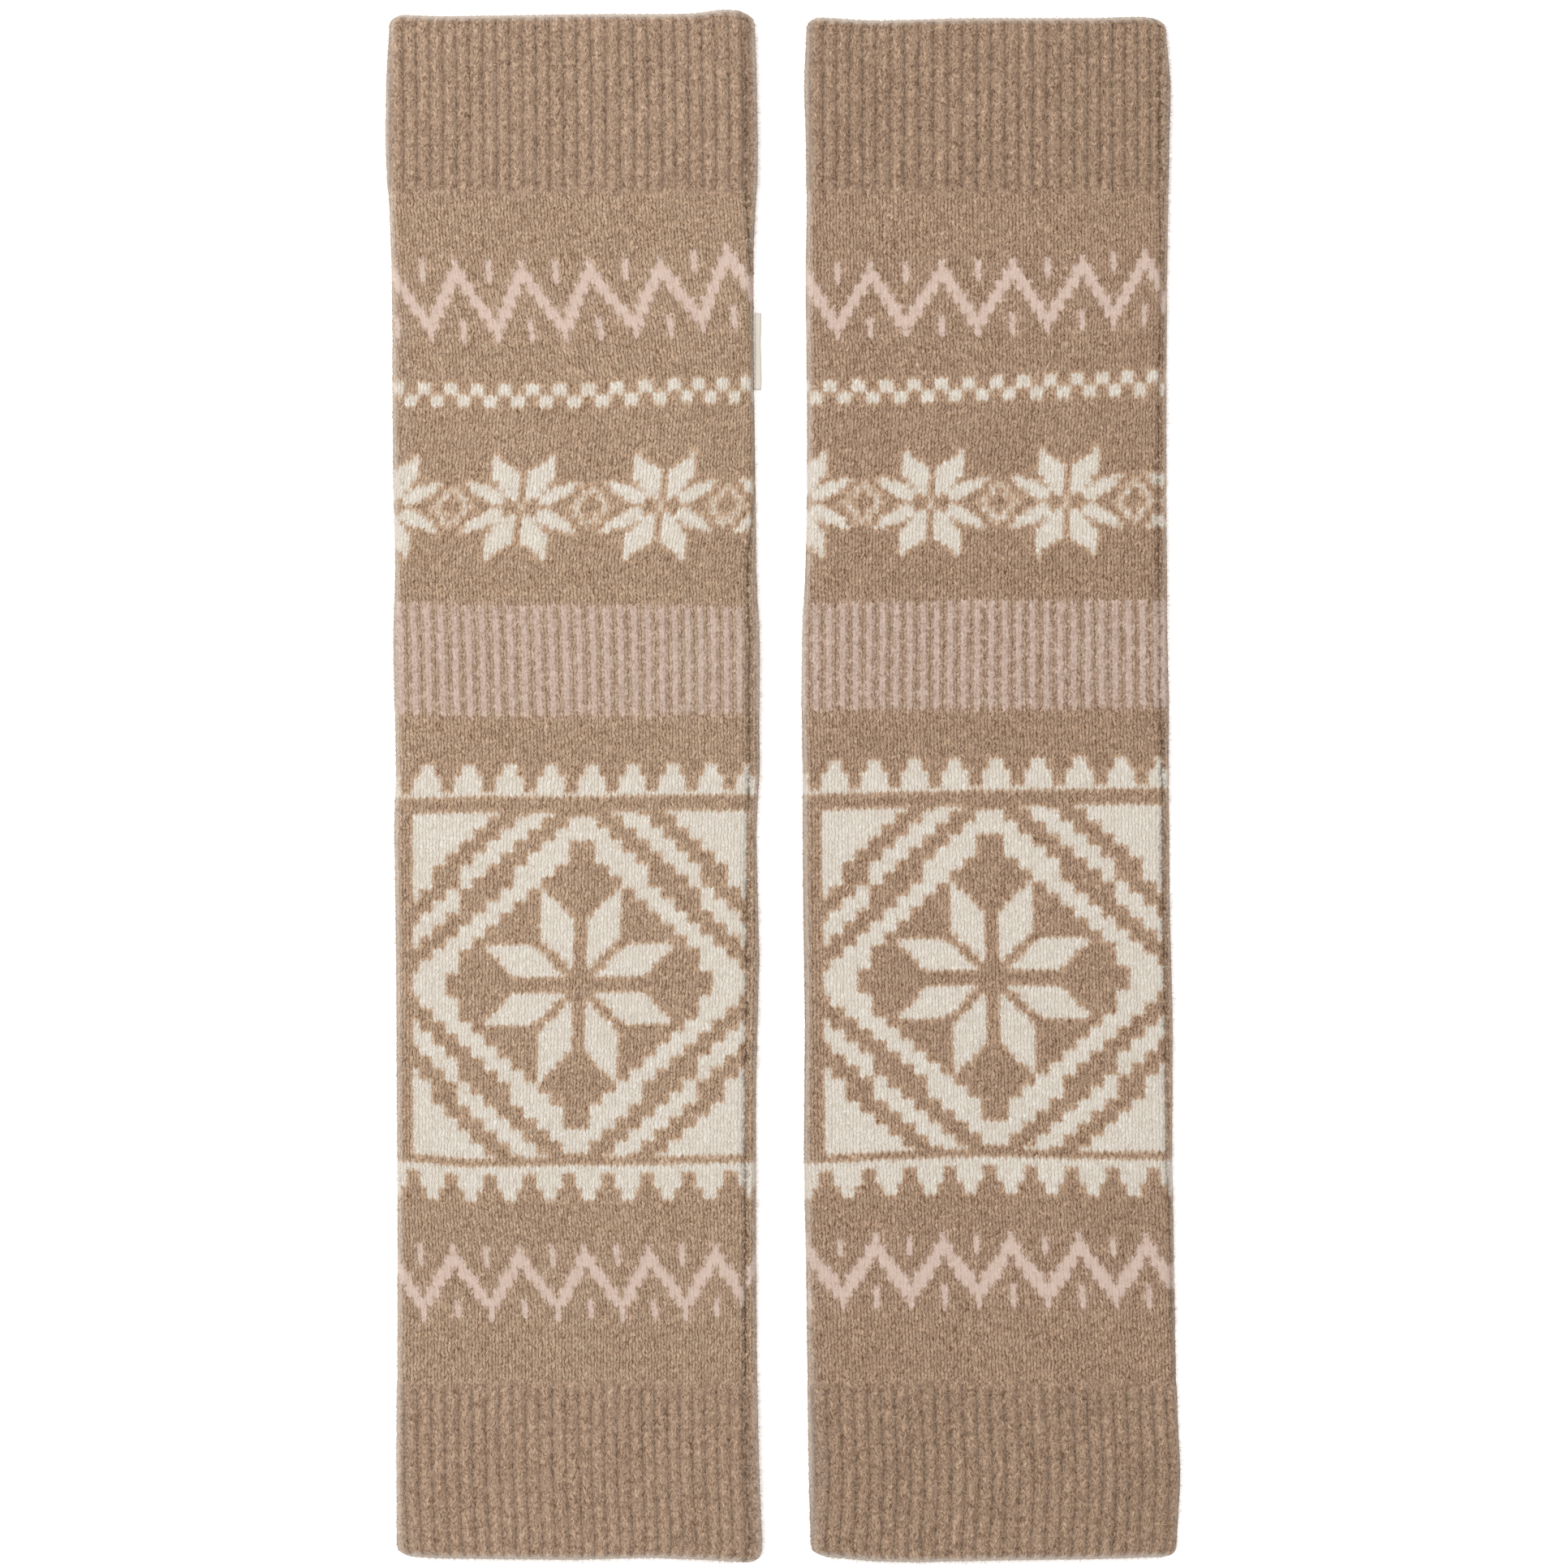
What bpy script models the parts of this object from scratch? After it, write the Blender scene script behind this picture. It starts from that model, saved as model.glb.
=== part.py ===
"""A pair of knitted arm warmers, laid flat side by side and seen from above.

Each warmer is one knitted panel with a ribbed cuff at both ends. The panel is folded in half and
linked along one long side, which makes a tube that is open at both ends. Laid flat, the tube's front
and back layers lie on each other, and each is a solid of its own, so that the tube stays open between
them. Their rounded edges meet along the two side folds. The linked seam is a groove just inside the
right-hand fold. A folded woven label stands out of the left warmer's seam.

X runs across the pair, Y up the warmers, and Z up from the surface that they lie on.
"""

import math

import bmesh
import bpy
import numpy as np

MM = 0.001

# The cloth, in millimetres.
WALL = 2.1          # one layer of brushed, felted knit
GAP = 0.3           # between the two layers, and between pieces that are knitted or sewn together
MIDDLE = WALL + GAP / 2
GROOVE_HALF_WIDTH = 1.0
FOLD_STEPS = 4      # flat facets round a layer's quarter-round edge
TOP_STEPS = 7       # across the smooth top, up to just inside the right fold
UNDER_STEPS = 5     # across a back layer, and across any layer's inner side
NEAR_FOLD = 2.5     # where the smooth top's close spacing begins, inside the right fold

# The plan of a warmer, measured down from the highest straight part of its upper hem.
LENGTH = 428.2
UPPER_CUFF = 50.0
LOWER_CUFF = 49.5
STRIPES_TOP = 162.9
STRIPES_BOTTOM = 194.6
HEM_CORNER = 3.0    # radius of the hems' corners, seen from above
HEM_LIP = 0.8       # how far the cloth rounds off at a hem
ROW_SPACING = 2.0   # an outline row this close to an end, a hem's corner or the stripes is left out

# The ribs, counted over a front layer from fold to fold.
RIBS_TO_SEAM = 27
RIBS_PAST_SEAM = 2
CUFF_RIB = 0.45
STRIPE_RIB = 0.25

# How far the middle of each warmer lies from the middle of the pair.
SPACING = 57.3

# The label: 21.4 mm of folded tape.
LABEL_TOP = 82.6
LABEL_LENGTH = 21.4
LABEL_STANDS_OUT = 2.2
LABEL_THICKNESS = 0.9

# The outline of each warmer. "left" and "right" are the distances of the two folds from the warmer's
# middle line, "seam" is the distance of the linked seam from it, and "groove" is the seam's depth.
COLUMNS = ("down", "left", "right", "seam", "groove")

LEFT_WARMER = (
    (5.0, 51.3, 49.7, 47.0, 0.5),
    (18.4, 52.0, 50.2, 47.0, 1.2),
    (36.5, 52.2, 50.6, 47.3, 1.2),
    (50.0, 51.5, 50.2, 47.4, 0.8),
    (63.5, 50.9, 49.5, 48.4, 0.5),
    (80.0, 50.6, 49.5, 49.5, 0.0),
    (108.5, 50.6, 49.7, 49.7, 0.0),
    (135.5, 50.2, 50.2, 50.0, 0.3),
    (153.5, 49.7, 50.2, 47.7, 0.7),
    (171.5, 50.2, 51.1, 48.4, 0.7),
    (198.5, 49.7, 51.1, 48.4, 0.7),
    (207.5, 49.5, 51.3, 48.6, 0.7),
    (225.5, 50.0, 50.2, 47.9, 0.7),
    (261.5, 49.5, 51.1, 47.7, 0.7),
    (297.5, 49.3, 50.2, 47.3, 0.7),
    (333.5, 49.1, 50.2, 47.3, 0.7),
    (369.5, 49.1, 50.4, 47.3, 0.7),
    (387.5, 49.1, 50.6, 47.3, 0.8),
    (405.5, 49.3, 51.1, 47.5, 0.8),
    (423.5, 49.3, 51.8, 48.4, 0.7),
)

RIGHT_WARMER = (
    (5.0, 50.0, 49.5, 47.5, 0.4),
    (18.4, 50.6, 50.6, 47.5, 0.6),
    (36.5, 50.0, 50.2, 47.5, 0.6),
    (50.0, 50.0, 50.0, 47.5, 0.4),
    (72.5, 50.4, 49.7, 47.9, 0.3),
    (108.5, 50.0, 49.5, 47.3, 0.5),
    (135.5, 50.0, 49.5, 47.3, 0.6),
    (153.5, 50.4, 49.7, 47.3, 0.6),
    (171.5, 51.3, 49.7, 47.7, 0.6),
    (189.5, 51.5, 50.2, 47.7, 0.6),
    (207.5, 51.3, 50.2, 48.4, 0.6),
    (243.5, 51.1, 50.4, 48.6, 0.6),
    (279.5, 50.6, 51.3, 49.1, 0.5),
    (315.5, 50.9, 51.1, 49.5, 0.4),
    (351.5, 50.2, 51.8, 50.9, 0.3),
    (369.5, 50.0, 52.0, 51.5, 0.2),
    (387.5, 49.5, 52.4, 52.0, 0.2),
    (405.5, 49.3, 53.3, 52.9, 0.2),
    (423.5, 48.8, 52.2, 51.8, 0.2),
)

# How far each hem reaches past its straight line, by the distance from the warmer's middle line.
LEFT_UPPER_HEM = ((-47.0, 0.0), (-38.0, -0.4), (0.0, 0.2), (32.0, 0.3), (43.0, 1.8), (49.0, 0.4))
LEFT_LOWER_HEM = ((-47.0, -0.7), (-38.0, 0.0), (0.0, 0.4), (20.0, -0.2), (36.0, 0.4), (46.0, 1.1))
RIGHT_UPPER_HEM = ((-47.0, -0.7), (-32.0, -1.6), (-6.0, -0.9), (30.0, -0.9), (43.0, -0.4), (48.0, -1.2))
RIGHT_LOWER_HEM = ((-47.0, -0.7), (-32.0, 0.8), (-20.0, 1.1), (0.0, 0.6), (30.0, 0.2), (48.0, -0.4))

# Finishes: sRGB colour and roughness.
CUFF_WOOL = ((163, 137, 115), 0.95)
BODY_WOOL = ((170, 143, 119), 0.95)
LABEL_TAPE = ((228, 221, 208), 0.7)


def clear_scene():
    for old in list(bpy.data.objects):
        bpy.data.objects.remove(old, do_unlink=True)


def finish(name, colour_and_roughness):
    """A Principled material of its own for one piece."""
    colour, roughness = colour_and_roughness
    linear = [((c / 255 + 0.055) / 1.055) ** 2.4 for c in colour]
    material = bpy.data.materials.new(name)
    material.use_nodes = True
    shader = material.node_tree.nodes["Principled BSDF"]
    shader.inputs["Base Color"].default_value = (*linear, 1.0)
    shader.inputs["Roughness"].default_value = roughness
    shader.inputs["Metallic"].default_value = 0.0
    return material


def add_piece(name, mesh, parent, colour_and_roughness):
    mesh.materials.append(finish(name + "_finish", colour_and_roughness))
    piece = bpy.data.objects.new(name, mesh)
    bpy.context.scene.collection.objects.link(piece)
    piece.parent = parent
    return piece


def section_of(outline, down):
    """The outline's columns at one distance down the warmer, read between its rows."""
    table = np.array(outline)
    return {name: float(np.interp(down, table[:, 0], column)) for name, column in zip(COLUMNS, table.T)}


def walk_over(way, left, right, thickness):
    """Places and outward directions on the outside of one layer, from its left edge to its right one.

    The outside is a straight top between two quarter-round edges. "way" is how far a place is along
    it. Also gives each place's share of the way, in which an edge counts a tenth and the top the
    rest, whatever their lengths.
    """
    edge = math.pi / 2 * thickness
    flat = right - left - 2 * thickness
    corners = np.cumsum([0, edge, flat, edge])
    side = np.clip(np.searchsorted(corners, way, side="right") - 1, 0, 2)
    along = way - corners[side]
    turn = np.select([side == 0, side == 1], [math.pi - along / thickness, math.pi / 2], math.pi / 2 - along / thickness)
    centre = np.select([side == 0, side == 1], [left + thickness, left + thickness + along], right - thickness)
    out = np.stack([np.cos(turn), np.sin(turn)], 1)
    place = np.stack([centre, np.zeros(len(way))], 1) + thickness * out
    return place, out, np.interp(way, corners, (0, 0.1, 0.9, 1))


def seam_way(section, thickness):
    """How far over the front layer the seam lies, which may be on the top or on the right edge."""
    past_top = section["seam"] - (section["right"] - thickness)
    on_top = math.pi / 2 * thickness + section["left"] + section["right"] - 2 * thickness
    if past_top <= 0:
        return on_top + past_top
    return on_top + thickness * math.asin(min(past_top / thickness, 0.9))


def length_over(section, thickness):
    return math.pi * thickness + section["left"] + section["right"] - 2 * thickness


def plain_front(section, thickness):
    """Ways over a smooth front layer and how far the cloth stands out there: only the seam is cut in."""
    edge = math.pi / 2 * thickness
    end = length_over(section, thickness)
    seam = seam_way(section, thickness)
    before, past = seam - GROOVE_HALF_WIDTH, min(seam + GROOVE_HALF_WIDTH, (seam + end) / 2)
    near_fold = end - edge - NEAR_FOLD
    way = np.concatenate([
        np.linspace(0, edge, FOLD_STEPS + 1),
        np.linspace(edge, near_fold, TOP_STEPS + 1)[1:],
        np.linspace(near_fold, before, FOLD_STEPS)[1:],
        [seam],
        np.linspace(past, end, FOLD_STEPS),
    ])
    return way, np.where(way == seam, -section["groove"], 0.0)


def ribbed_front(section, thickness, rib):
    """Ways over a ribbed front layer: each rib is a valley and a crest, and the seam is a valley."""
    end = length_over(section, thickness)
    seam = seam_way(section, thickness)
    step = np.array((0.0, 0.5))
    to_seam = (np.arange(RIBS_TO_SEAM)[:, None] + step) / RIBS_TO_SEAM * seam
    past_seam = seam + (np.arange(RIBS_PAST_SEAM)[:, None] + step) / RIBS_PAST_SEAM * (end - seam)
    way = np.concatenate([to_seam.ravel(), past_seam.ravel(), [end]])
    out = np.append(np.tile((0.0, rib), RIBS_TO_SEAM + RIBS_PAST_SEAM), 0.0)
    return way, np.where(way == seam, -section["groove"], out)


def plain_back(section, thickness):
    edge = math.pi / 2 * thickness
    end = length_over(section, thickness)
    way = np.concatenate([
        np.linspace(0, edge, FOLD_STEPS + 1),
        np.linspace(edge, end - edge, UNDER_STEPS + 1)[1:],
        np.linspace(end - edge, end, FOLD_STEPS + 1)[1:],
    ])
    return way, np.zeros(len(way))


def cross_section(section, is_front, rib, lip):
    """A layer's closed outline at one distance down the warmer: its outside, then its inner side.

    Gives the (x, z) places, their shares of the way round, and how many of them are the outside's.
    """
    thickness = WALL - lip
    if not is_front:
        way, out = plain_back(section, thickness)
    elif rib:
        way, out = ribbed_front(section, thickness, rib)
    else:
        way, out = plain_front(section, thickness)
    left, right = -section["left"], section["right"]
    place, direction, share = walk_over(way, left, right, thickness)
    place = place + direction * out[:, None]
    inner = np.linspace(right, left, UNDER_STEPS + 1)[1:-1]
    place = np.concatenate([place, np.stack([inner, np.zeros(len(inner))], 1)])
    share = np.concatenate([share / 2, np.linspace(0.5, 1, UNDER_STEPS + 1)[1:-1]])
    upward = 1 if is_front else -1
    return place * (1, upward) + (0, MIDDLE + upward * GAP / 2), share, len(way)


def join_rings(mesh, one, other):
    """A band of triangles between two closed rings, which may differ in their number of vertices.

    Each step goes on along whichever ring is behind, by its vertices' shares of the way round.
    """
    (first, first_share), (second, second_share) = one, other
    i, j = 0, 0
    first_next = [*first_share[1:], 1.0]
    second_next = [*second_share[1:], 1.0]
    while i < len(first) or j < len(second):
        a, b = first[i % len(first)], second[j % len(second)]
        if j == len(second) or (i < len(first) and first_next[i] <= second_next[j]):
            i += 1
            mesh.faces.new((a, first[i % len(first)], b))
        else:
            j += 1
            mesh.faces.new((a, second[j % len(second)], b))


def close_end(mesh, ring, outside):
    """Closes a layer's end with triangles between its outside and its inner side."""
    over = ring[:outside]
    under = [ring[0], *reversed(ring[outside:]), ring[outside - 1]]
    i, j = 0, 0
    while i < len(over) - 1 or j < len(under) - 1:
        behind = (i + 1) / (len(over) - 1) <= (j + 1) / (len(under) - 1)
        if j == len(under) - 1 or (i < len(over) - 1 and behind):
            corners = (over[i], over[i + 1], under[j])
            i += 1
        else:
            corners = (over[i], under[j + 1], under[j])
            j += 1
        if len(set(corners)) == 3:
            mesh.faces.new(corners)


def reach_past(hem, across):
    distance, reach = np.array(hem).T
    return np.interp(across, distance, reach)


def layer(name, outline, top, bottom, is_front, upper_hem=None, lower_hem=None, rib=0.0, ribbed=None):
    """One layer of one stretch of a warmer, between two distances down it, as a closed solid.

    A hem shapes the end that it is given for: the corners are rounded, the edge waves as the hem's
    table says, and the cloth rounds off at its lip. "ribbed" limits the ribs to a stretch.
    """
    first = top + ROW_SPACING + (HEM_CORNER if upper_hem else 0)
    last = bottom - ROW_SPACING - (HEM_CORNER if lower_hem else 0)
    downs = {top, bottom, *(row[0] for row in outline if first < row[0] < last)}
    if upper_hem:
        downs |= {top + HEM_LIP, top + HEM_CORNER}
    if lower_hem:
        downs |= {bottom - HEM_LIP, bottom - HEM_CORNER}
    rows = [(down, rib and not ribbed) for down in sorted(downs)]
    if ribbed and is_front:
        start, stop = ribbed
        rows = [row for row in rows if not start - ROW_SPACING < row[0] < stop + ROW_SPACING]
        rows += [(start - HEM_LIP, False), (start, True), ((start + stop) / 2, True)]
        rows += [(stop, True), (stop + HEM_LIP, False)]
        rows.sort()

    mesh = bmesh.new()
    rings = []
    for down, has_ribs in rows:
        section = section_of(outline, down)
        near_top, near_bottom = down - top, bottom - down
        from_hem = min(near_top if upper_hem else LENGTH, near_bottom if lower_hem else LENGTH)
        if from_hem < HEM_CORNER:
            drawn_in = HEM_CORNER - math.sqrt(HEM_CORNER**2 - (HEM_CORNER - from_hem) ** 2)
            for side in ("left", "right", "seam"):
                section[side] -= drawn_in
        lip = HEM_LIP / 2 if from_hem < HEM_LIP / 2 else 0.0
        place, share, outside = cross_section(section, is_front, rib if has_ribs else 0.0, lip)
        x, z = place.T
        y = np.full(len(x), LENGTH / 2 - down)
        if upper_hem:
            y += reach_past(upper_hem, x) * (1 - near_top / (bottom - top)) ** 2
        if lower_hem:
            y -= reach_past(lower_hem, x) * (1 - near_bottom / (bottom - top)) ** 2
        ring = [mesh.verts.new(point) for point in np.column_stack((x, y, z)) * MM]
        rings.append((ring, share, outside))
    for one, other in zip(rings, rings[1:]):
        join_rings(mesh, one[:2], other[:2])
    for end in (0, -1):
        close_end(mesh, rings[end][0], rings[end][2])
    bmesh.ops.recalc_face_normals(mesh, faces=mesh.faces)
    if mesh.calc_volume(signed=True) < 0:
        bmesh.ops.reverse_faces(mesh, faces=mesh.faces)

    data = bpy.data.meshes.new(name)
    mesh.to_mesh(data)
    mesh.free()
    data.shade_smooth()
    data.set_sharp_from_angle(angle=math.radians(50))
    return data


def label_tape(name, edge, top, length):
    """The label: tape folded on itself, flat where it leaves the seam and round at its outer fold."""
    half = LABEL_THICKNESS / 2
    root = edge + GAP
    round_from = edge + LABEL_STANDS_OUT - half
    turns = np.linspace(-math.pi / 2, math.pi / 2, 7)
    profile = [(root, -half), *((round_from + half * math.cos(t), half * math.sin(t)) for t in turns)]
    profile.append((root, half))

    mesh = bmesh.new()
    ends = []
    for down in (top, top + length):
        y = LENGTH / 2 - down
        ends.append([mesh.verts.new((x * MM, y * MM, (MIDDLE + z) * MM)) for x, z in profile])
    count = len(profile)
    for i in range(count):
        j = (i + 1) % count
        mesh.faces.new((ends[0][i], ends[0][j], ends[1][j], ends[1][i]))
    for end in ends:
        mesh.faces.new(end)
    bmesh.ops.recalc_face_normals(mesh, faces=mesh.faces)

    data = bpy.data.meshes.new(name)
    mesh.to_mesh(data)
    mesh.free()
    return data


def make_warmer(side, x, outline, upper_hem, lower_hem):
    """The two cuffs and the body of one warmer, under an empty that stands at its middle."""
    middle = bpy.data.objects.new(side + "_warmer", None)
    bpy.context.scene.collection.objects.link(middle)
    middle.location = (x * MM, 0, 0)

    lower_top = LENGTH - LOWER_CUFF
    for is_front, which in ((True, "_front"), (False, "_back")):
        name = side + "_upper_cuff" + which
        cuff = layer(name, outline, 0, UPPER_CUFF - GAP / 2, is_front, upper_hem=upper_hem, rib=CUFF_RIB)
        add_piece(name, cuff, middle, CUFF_WOOL)

        name = side + "_body" + which
        ends = (UPPER_CUFF + GAP / 2, lower_top - GAP / 2)
        stripes = (STRIPES_TOP, STRIPES_BOTTOM)
        body = layer(name, outline, *ends, is_front, rib=STRIPE_RIB, ribbed=stripes)
        add_piece(name, body, middle, BODY_WOOL)

        name = side + "_lower_cuff" + which
        cuff = layer(name, outline, lower_top + GAP / 2, LENGTH, is_front, lower_hem=lower_hem, rib=CUFF_RIB)
        add_piece(name, cuff, middle, CUFF_WOOL)
    return middle


def centre_pair(middles):
    """Moves both warmers so that the origin is under the middle of the pair's box."""
    bpy.context.view_layer.update()
    corners = np.array([
        piece.matrix_world @ vertex.co
        for middle in middles
        for piece in middle.children
        for vertex in piece.data.vertices
    ])
    offset = (corners.min(0) + corners.max(0)) / 2
    for middle in middles:
        middle.location.x -= offset[0]
        middle.location.y -= offset[1]


clear_scene()
left_middle = make_warmer("left", -SPACING, LEFT_WARMER, LEFT_UPPER_HEM, LEFT_LOWER_HEM)
right_middle = make_warmer("right", SPACING, RIGHT_WARMER, RIGHT_UPPER_HEM, RIGHT_LOWER_HEM)
label_edge = section_of(LEFT_WARMER, LABEL_TOP)["right"]
add_piece(
    "left_side_label",
    label_tape("left_side_label", label_edge, LABEL_TOP, LABEL_LENGTH),
    left_middle,
    LABEL_TAPE,
)
centre_pair((left_middle, right_middle))
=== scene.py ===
"""The looks of a pair of knitted arm warmers that lie flat, side by side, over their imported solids.

The script goes as the maker does: it knits the body panels with their bands of colour, adds the
ribbed cuffs, sews in the label and raises the nap, and then lays the pair on a pale ground.
"""

import math

import bpy
import numpy as np
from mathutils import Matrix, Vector


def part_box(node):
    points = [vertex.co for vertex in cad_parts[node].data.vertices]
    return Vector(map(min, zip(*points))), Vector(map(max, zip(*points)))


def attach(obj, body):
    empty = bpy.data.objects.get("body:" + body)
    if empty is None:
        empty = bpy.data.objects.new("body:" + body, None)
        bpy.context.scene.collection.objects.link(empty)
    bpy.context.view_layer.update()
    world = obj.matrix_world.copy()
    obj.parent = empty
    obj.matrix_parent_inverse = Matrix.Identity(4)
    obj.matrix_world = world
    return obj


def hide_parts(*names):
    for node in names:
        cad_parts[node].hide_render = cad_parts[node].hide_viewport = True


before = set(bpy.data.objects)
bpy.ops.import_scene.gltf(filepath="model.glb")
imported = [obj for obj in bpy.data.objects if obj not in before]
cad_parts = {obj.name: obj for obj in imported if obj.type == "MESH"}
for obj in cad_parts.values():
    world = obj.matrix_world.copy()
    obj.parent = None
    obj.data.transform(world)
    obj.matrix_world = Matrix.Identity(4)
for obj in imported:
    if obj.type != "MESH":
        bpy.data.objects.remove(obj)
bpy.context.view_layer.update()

# --- The body panels ---------------------------------------------------------------------------
# Each body is one panel of stocking stitch in heathered, brushed wool, knitted with bands of two
# colours, then folded in half and linked down one side into a tube that lies flat. Every stitch is a
# V of two legs, which stand out of the cloth. Sizes are millimetres until a point is placed.
MM = 0.001
LENGTH = 428.2
UPPER_CUFF = 50.0
LOWER_CUFF = 49.5
LOWER_TOP = LENGTH - LOWER_CUFF
WALL = 2.1
SLOT = 0.3
THICK = 2 * WALL + SLOT
Y_SHIFT = -0.30

SEAM_WALE = 55
BACK_WALES = 52
WALES = SEAM_WALE + BACK_WALES
WALE_WIDE = 1.87
COURSES = 298
V_DEPTH = 0.85
LEG_STANDS_OUT = 0.22
STRIPE_STANDS_OUT = 0.25
BODY_HAIRS = 48000

# Outlines: how far down, then how far the left fold, the right fold and the linked seam are from the
# warmer's middle line, and how deep the seam is drawn in.
LEFT_OUTLINE = (
    (5.0, 51.3, 49.7, 47.2, 0.5),
    (18.4, 52.0, 50.2, 47.5, 1.2),
    (36.5, 52.2, 50.6, 47.6, 1.2),
    (50.0, 51.5, 50.2, 47.5, 0.8),
    (63.5, 50.9, 49.5, 48.4, 0.5),
    (80.0, 50.6, 49.5, 49.5, 0.0),
    (108.5, 50.6, 49.7, 49.7, 0.0),
    (135.5, 50.2, 50.2, 50.0, 0.3),
    (153.5, 49.7, 50.2, 47.7, 0.7),
    (171.5, 50.2, 51.1, 48.4, 0.7),
    (198.5, 49.7, 51.1, 48.4, 0.7),
    (207.5, 49.5, 51.3, 48.6, 0.7),
    (225.5, 50.0, 50.2, 47.9, 0.7),
    (261.5, 49.5, 51.1, 47.7, 0.7),
    (297.5, 49.3, 50.2, 47.3, 0.7),
    (333.5, 49.1, 50.2, 47.3, 0.7),
    (369.5, 49.1, 50.4, 47.3, 0.7),
    (387.5, 49.1, 50.6, 47.3, 0.8),
    (405.5, 49.3, 51.1, 47.5, 0.8),
    (423.5, 49.3, 51.8, 48.4, 0.7),
)
RIGHT_OUTLINE = (
    (5.0, 50.0, 49.5, 47.5, 0.4),
    (18.4, 50.6, 50.6, 47.5, 0.6),
    (36.5, 50.0, 50.2, 47.5, 0.6),
    (50.0, 50.0, 50.0, 47.5, 0.4),
    (72.5, 50.4, 49.7, 47.9, 0.3),
    (108.5, 50.0, 49.5, 47.3, 0.5),
    (135.5, 50.0, 49.5, 47.3, 0.6),
    (153.5, 50.4, 49.7, 47.3, 0.6),
    (171.5, 51.3, 49.7, 47.7, 0.6),
    (189.5, 51.5, 50.2, 47.7, 0.6),
    (207.5, 51.3, 50.2, 48.4, 0.6),
    (243.5, 51.1, 50.4, 48.6, 0.6),
    (279.5, 50.6, 51.3, 49.1, 0.5),
    (315.5, 50.9, 51.1, 49.5, 0.4),
    (351.5, 50.2, 51.8, 50.9, 0.3),
    (369.5, 50.0, 52.0, 51.5, 0.2),
    (387.5, 49.5, 52.4, 52.0, 0.2),
    (405.5, 49.3, 53.3, 52.9, 0.2),
    (423.5, 48.8, 52.2, 51.8, 0.2),
)

# Wales: how far down, then how far wales 42, 28, 14 and 0 lie from the seam, over the front.
LEFT_WALES = (
    (78.0, 24.2, 51.7, 77.5, 103.3),
    (105.0, 20.9, 48.7, 75.8, 101.5),
    (136.0, 23.2, 50.8, 77.7, 103.9),
    (208.0, 23.0, 49.1, 75.9, 102.5),
    (327.0, 25.5, 50.8, 76.3, 100.6),
    (360.0, 22.5, 47.1, 72.9, 99.4),
)
RIGHT_WALES = (
    (86.0, 22.5, 49.6, 77.7, 103.3),
    (104.0, 22.5, 48.6, 75.0, 102.7),
    (135.0, 24.7, 51.0, 77.4, 103.9),
    (207.0, 24.8, 52.0, 78.1, 103.7),
    (326.0, 24.6, 51.0, 76.8, 104.5),
    (358.0, 23.9, 50.8, 77.2, 103.7),
)

# Courses: the course, then how far down it runs at wales 0, 14, 28, 42 and 55.
LEFT_COURSES = (
    (0, 50.0, 50.0, 50.0, 50.0, 50.0),
    (17, 68.4, 68.9, 69.3, 68.0, 62.6),
    (36, 88.5, 90.2, 89.4, 88.0, 85.1),
    (50, 105.3, 105.7, 105.8, 104.2, 104.4),
    (78.5, 136.6, 136.6, 136.6, 136.2, 135.8),
    (103, 162.0, 163.6, 163.6, 163.6, 164.1),
    (131, 193.8, 194.9, 194.6, 194.8, 194.0),
    (151, 217.6, 216.7, 216.9, 216.3, 216.3),
    (243, 317.3, 319.6, 319.1, 318.9, 318.2),
    (298, 378.7, 378.7, 378.7, 378.7, 378.7),
)
RIGHT_COURSES = (
    (0, 50.0, 50.0, 50.0, 50.0, 50.0),
    (17, 70.3, 69.4, 68.9, 67.6, 65.3),
    (36, 89.8, 88.5, 88.0, 86.5, 84.7),
    (50, 104.5, 104.7, 103.8, 102.7, 102.2),
    (78.5, 135.3, 135.3, 135.3, 135.0, 134.6),
    (103, 163.4, 162.7, 162.1, 162.3, 162.1),
    (131, 193.3, 192.8, 192.7, 192.7, 192.2),
    (151, 216.5, 215.7, 215.0, 214.7, 214.5),
    (243, 318.9, 317.5, 316.6, 317.3, 317.5),
    (298, 378.7, 378.7, 378.7, 378.7, 378.7),
)

# Hems: how far the edge reaches past its straight line, by the distance from the middle line.
LEFT_HEMS = (
    ((-47.0, 0.0), (-38.0, -0.4), (0.0, 0.2), (32.0, 0.3), (43.0, 1.8), (49.0, 0.4)),
    ((-47.0, -0.7), (-38.0, 0.0), (0.0, 0.4), (20.0, -0.2), (36.0, 0.4), (46.0, 1.1)),
)
RIGHT_HEMS = (
    ((-47.0, -0.7), (-32.0, -1.6), (-6.0, -0.9), (30.0, -0.9), (43.0, -0.4), (48.0, -1.2)),
    ((-47.0, -0.7), (-32.0, 0.8), (-20.0, 1.1), (0.0, 0.6), (30.0, 0.2), (48.0, -0.4)),
)
CORNER_WIDE, CORNER_TALL = 2.8, 3.6
# The seam's groove: how wide it is, and how deep it must be for its painted shade to be at full strength.
GROOVE_WIDE, FULL_GROOVE = 0.9, 0.55
# How far in the pale painted sheen reaches from the left fold and the hems, and from the right fold.
SHEEN_WIDE, SHEEN_WIDE_RIGHT = 2.2, 1.2
STATIONS = (0, 14, 28, 42, 55)


def read_softly(table, reach):
    """Reads a table's columns anywhere along its first one, rounded off over a reach on each side."""
    table = np.array(table, float)
    every = np.arange(table[0, 0], table[-1, 0] + 0.5, 0.5)
    window = np.hanning(4 * reach + 3)
    window /= window.sum()
    columns = [
        np.convolve(
            np.pad(np.interp(every, table[:, 0], column), 2 * reach + 1, "reflect", reflect_type="odd"),
            window,
            "valid",
        )
        for column in table.T[1:]
    ]
    return lambda at: [np.interp(at, every, column) for column in columns]


def between_stations(wale, stations, values):
    """Values given at a few wales, read at any wale: each station counts less the further it is."""
    return sum(
        np.interp(wale, stations, unit) * value for unit, value in zip(np.eye(len(stations)), values)
    )


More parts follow.
